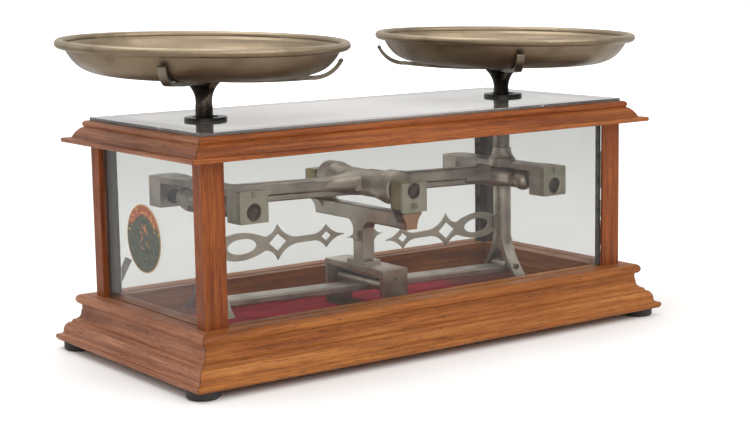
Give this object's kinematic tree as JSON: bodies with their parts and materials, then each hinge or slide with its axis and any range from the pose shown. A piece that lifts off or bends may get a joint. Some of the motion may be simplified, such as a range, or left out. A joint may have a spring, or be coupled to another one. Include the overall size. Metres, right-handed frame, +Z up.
{
  "type": "counter scale",
  "caption": "Glazed hardwood case around a parallel-motion beam that carries two shallow round lift-off dishes on stems.",
  "frame": {"origin": "centre of the footprint on the table, under the feet", "axes": "+X along the case towards the pan that hangs lower at rest, -Y the front pane, +Z up"},
  "size_m": [0.5436, 0.236, 0.2612],
  "materials": {
    "front_wood": "satin hardwood, grain along X",
    "end_wood": "satin hardwood, grain along Y",
    "post_wood": "satin hardwood, grain along Z",
    "floor_wood": "bare wood",
    "velvet": "short pile",
    "glass": "clear",
    "top_glass": "clear, dusty",
    "putty": "dry putty",
    "black_ring": "black, satin",
    "badge": "printed transfer",
    "foot_rubber": "matte",
    "steel": "worn",
    "block_brass": "dull",
    "nickel_plate": "nickelled, worn",
    "dark_steel": "dark",
    "pedestal_nickel": "nickelled casting, worn",
    "pointer_nickel": "nickelled sheet",
    "cast_nickel": "nickelled casting, worn",
    "stem_black": "blackened, worn",
    "spider_steel": "dull",
    "pan_brass": "dull patina"
  },
  "bodies": {
    "case": {"badge": "badge", "base_back": "front_wood", "base_front": "front_wood", "base_left": "end_wood", "base_right": "end_wood", "centre_bearings": "dark_steel", "centre_block_screws": "steel", "centre_blocks": "block_brass", "centre_covers": "nickel_plate", "floor_board": "floor_wood", "foot_screws": "steel", "glass_back": "glass", "glass_front": "glass", "glass_left": "glass", "glass_right": "glass", "glass_top": "top_glass", "glazing_putty": "putty", "index_points": "pointer_nickel", "left_grommet": "black_ring", "pane_strip": "putty", "pedestal_base": "pedestal_nickel", "pedestal_column": "pedestal_nickel", "pedestal_screws": "steel", "post_back_left": "post_wood", "post_back_right": "post_wood", "post_front_left": "post_wood", "post_front_right": "post_wood", "right_grommet": "black_ring", "rubber_feet": "foot_rubber", "top_back": "front_wood", "top_front": "front_wood", "top_left": "end_wood", "top_right": "end_wood", "velvet_lining": "velvet"},
    "beam": {"beam_casting": "cast_nickel", "centre_knives": "dark_steel", "left_knives": "dark_steel", "right_knives": "dark_steel"},
    "stay": {"stay": "cast_nickel"},
    "left_carrier": {"left_carrier_frame": "cast_nickel", "left_stem": "stem_black", "left_spider": "spider_steel", "left_cover": "nickel_plate", "left_bearings": "dark_steel", "left_block_screw": "steel", "left_pointer": "pointer_nickel", "left_pointer_screws": "steel"},
    "right_carrier": {"right_carrier_frame": "cast_nickel", "right_stem": "stem_black", "right_spider": "spider_steel", "right_cover": "nickel_plate", "right_bearings": "dark_steel", "right_block_screw": "steel", "right_pointer": "pointer_nickel", "right_pointer_screws": "steel"},
    "left_pan": {"left_pan": "pan_brass"},
    "right_pan": {"right_pan": "pan_brass"}
  },
  "joints": [
    {"name": "beam_tilt", "type": "hinge", "parent": "case", "child": "beam", "pos_m": [0, 0.003, 0.1263], "axis": [0, 1, 0], "range_deg": [-2.9, 0]},
    {"name": "left_carrier_level", "type": "hinge", "parent": "beam", "child": "left_carrier", "pos_m": [-0.15445, 0.003, 0.13021], "axis": [0, 1, 0], "range_deg": [0, 2.9]},
    {"name": "right_carrier_level", "type": "hinge", "parent": "beam", "child": "right_carrier", "pos_m": [0.15445, 0.003, 0.12239], "axis": [0, 1, 0], "range_deg": [0, 2.9]},
    {"name": "stay_tilt", "type": "hinge", "parent": "case", "child": "stay", "pos_m": [0, 0.003, 0.044], "axis": [0, 1, 0], "range_deg": [-2.9, 0]},
    {"name": "left_pan_lift", "type": "slide", "parent": "left_carrier", "child": "left_pan", "axis": [0, 0, 1], "range_m": [0, 0.06]},
    {"name": "right_pan_lift", "type": "slide", "parent": "right_carrier", "child": "right_pan", "axis": [0, 0, 1], "range_m": [0, 0.06]}
  ],
  "couplings": [
    {"joint": "left_carrier_level", "follows": "beam_tilt", "ratio": -1},
    {"joint": "right_carrier_level", "follows": "beam_tilt", "ratio": -1},
    {"joint": "stay_tilt", "follows": "beam_tilt", "ratio": 1}
  ]
}
